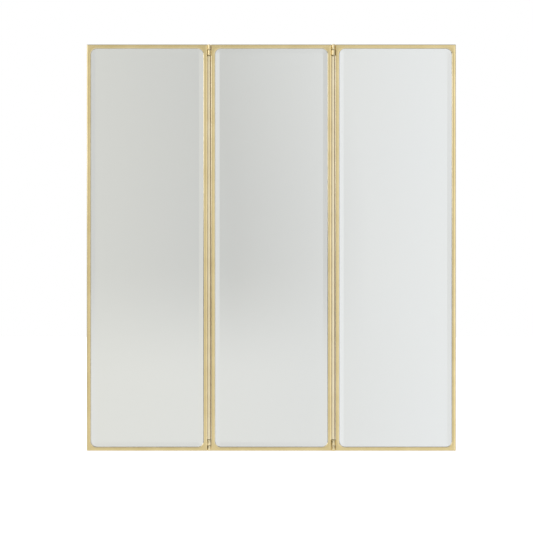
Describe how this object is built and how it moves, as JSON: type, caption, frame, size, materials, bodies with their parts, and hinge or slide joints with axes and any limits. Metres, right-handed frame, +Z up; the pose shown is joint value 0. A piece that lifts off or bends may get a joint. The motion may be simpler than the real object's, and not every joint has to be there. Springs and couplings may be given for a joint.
{
  "type": "folding triptych mirror",
  "caption": "Wide wall mirror in equal tall bevelled leaves with slim brass frames and rounded sight corners; the outer leaves fold forward on barrel hinges.",
  "frame": {"origin": "middle of the bottom of the whole object, halfway between its front and its back", "axes": "+Z up, the mirrors face -Y, +X to the right of someone looking into them"},
  "size_m": [1.09, 0.0353, 1.2],
  "materials": {
    "frame_brass": "satin",
    "strip_brass": "satin",
    "hinge_brass": "polished",
    "mirror": "silvered behind bevelled glass",
    "glazing_tape": "matte",
    "foam": "closed-cell foam",
    "backing": "raw hardboard",
    "zinc_steel": "zinc plated",
    "washer": "nylon",
    "rubber": "matte"
  },
  "bodies": {
    "centre": {"centre_backing_board": "backing", "centre_board_screws": "zinc_steel", "centre_board_tabs": "zinc_steel", "centre_bottom_rail": "frame_brass", "centre_corner_blocks": "frame_brass", "centre_foam_sheet": "foam", "centre_gap_strip": "strip_brass", "centre_glazing_tape": "glazing_tape", "centre_hinge_screws": "hinge_brass", "centre_left_stile": "frame_brass", "centre_mirror": "mirror", "centre_rear_pads": "rubber", "centre_right_stile": "frame_brass", "centre_strip_rivets": "strip_brass", "centre_top_rail": "frame_brass", "hanger_screws": "zinc_steel", "hinge_washers": "washer", "left_bottom_hinge_lower_half": "hinge_brass", "left_bottom_hinge_pin": "hinge_brass", "left_top_hinge_lower_half": "hinge_brass", "left_top_hinge_pin": "hinge_brass", "left_wall_hanger": "zinc_steel", "right_bottom_hinge_lower_half": "hinge_brass", "right_bottom_hinge_pin": "hinge_brass", "right_top_hinge_lower_half": "hinge_brass", "right_top_hinge_pin": "hinge_brass", "right_wall_hanger": "zinc_steel"},
    "left_wing": {"left_backing_board": "backing", "left_board_screws": "zinc_steel", "left_board_tabs": "zinc_steel", "left_bottom_hinge_upper_half": "hinge_brass", "left_bottom_rail": "frame_brass", "left_corner_blocks": "frame_brass", "left_foam_sheet": "foam", "left_gap_strip": "strip_brass", "left_glazing_tape": "glazing_tape", "left_hinge_screws": "hinge_brass", "left_left_stile": "frame_brass", "left_mirror": "mirror", "left_rear_pads": "rubber", "left_right_stile": "frame_brass", "left_strip_rivets": "strip_brass", "left_top_hinge_upper_half": "hinge_brass", "left_top_rail": "frame_brass"},
    "right_wing": {"right_backing_board": "backing", "right_board_screws": "zinc_steel", "right_board_tabs": "zinc_steel", "right_bottom_hinge_upper_half": "hinge_brass", "right_bottom_rail": "frame_brass", "right_corner_blocks": "frame_brass", "right_foam_sheet": "foam", "right_glazing_tape": "glazing_tape", "right_hinge_screws": "hinge_brass", "right_left_stile": "frame_brass", "right_mirror": "mirror", "right_rear_pads": "rubber", "right_right_stile": "frame_brass", "right_top_hinge_upper_half": "hinge_brass", "right_top_rail": "frame_brass"}
  },
  "joints": [
    {"name": "left_wing_fold", "type": "hinge", "parent": "centre", "child": "left_wing", "pos_m": [-0.18333, -0.00335, 0.6], "axis": [0, 0, 1], "range_deg": [0, 180]},
    {"name": "right_wing_fold", "type": "hinge", "parent": "centre", "child": "right_wing", "pos_m": [0.18333, -0.01335, 0.6], "axis": [0, 0, -1], "range_deg": [0, 180]}
  ]
}
